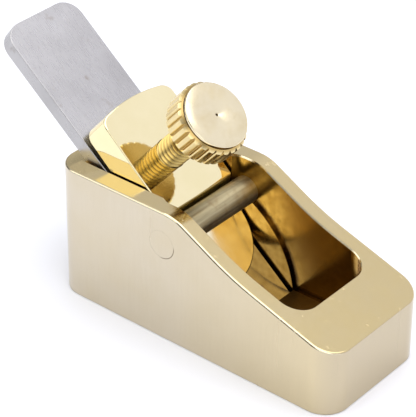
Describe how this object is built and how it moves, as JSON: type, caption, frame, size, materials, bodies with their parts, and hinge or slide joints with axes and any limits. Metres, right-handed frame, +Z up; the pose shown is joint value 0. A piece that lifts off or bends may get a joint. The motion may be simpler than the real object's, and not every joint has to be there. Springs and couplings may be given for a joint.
{
  "type": "hand plane",
  "caption": "Small brass finger plane with a sloping deck, a steel iron on an inclined bed, and a lever cap clamped by a fluted thumb screw.",
  "frame": {"origin": "on the sole, halfway between heel and toe, on the centre plane", "axes": "+X towards the toe, +Y towards the left cheek seen from behind, +Z up from the sole"},
  "size_m": [0.0551, 0.0184, 0.0313],
  "materials": {
    "body_brass": "satin polished",
    "cap_brass": "mirror polished",
    "pin_brass": "dull, drawn rod",
    "screw_brass": "turned",
    "iron_steel": "ground and buffed"
  },
  "bodies": {
    "plane_body": {"body": "body_brass", "cross_pin": "pin_brass"},
    "iron": {"plane_iron": "iron_steel"},
    "cap": {"lever_cap": "cap_brass"},
    "screw": {"screw_shank": "screw_brass"},
    "head": {"thumb_head": "screw_brass"}
  },
  "joints": [
    {"name": "iron_slide", "type": "slide", "parent": "plane_body", "child": "iron", "axis": [-0.7782, 0, 0.628], "range_m": [-0.0004, 0.008]},
    {"name": "cap_rock", "type": "hinge", "parent": "plane_body", "child": "cap", "pos_m": [-0.00415, 0, 0.01371], "axis": [0, -1, 0], "range_deg": [0, 3.47]},
    {"name": "screw_travel", "type": "slide", "parent": "cap", "child": "screw", "axis": [0.6607, 0, 0.7507], "range_m": [0, 0.000525]},
    {"name": "head_turn", "type": "hinge", "parent": "screw", "child": "head", "pos_m": [-0.01307, 0, 0.01674], "axis": [0.6607, 0, 0.7507], "range_deg": [0, 270.1]}
  ],
  "couplings": [
    {"joint": "head_turn", "follows": "screw_travel", "rad_per_m": 8976},
    {"joint": "cap_rock", "follows": "screw_travel", "rad_per_m": 114.94}
  ]
}
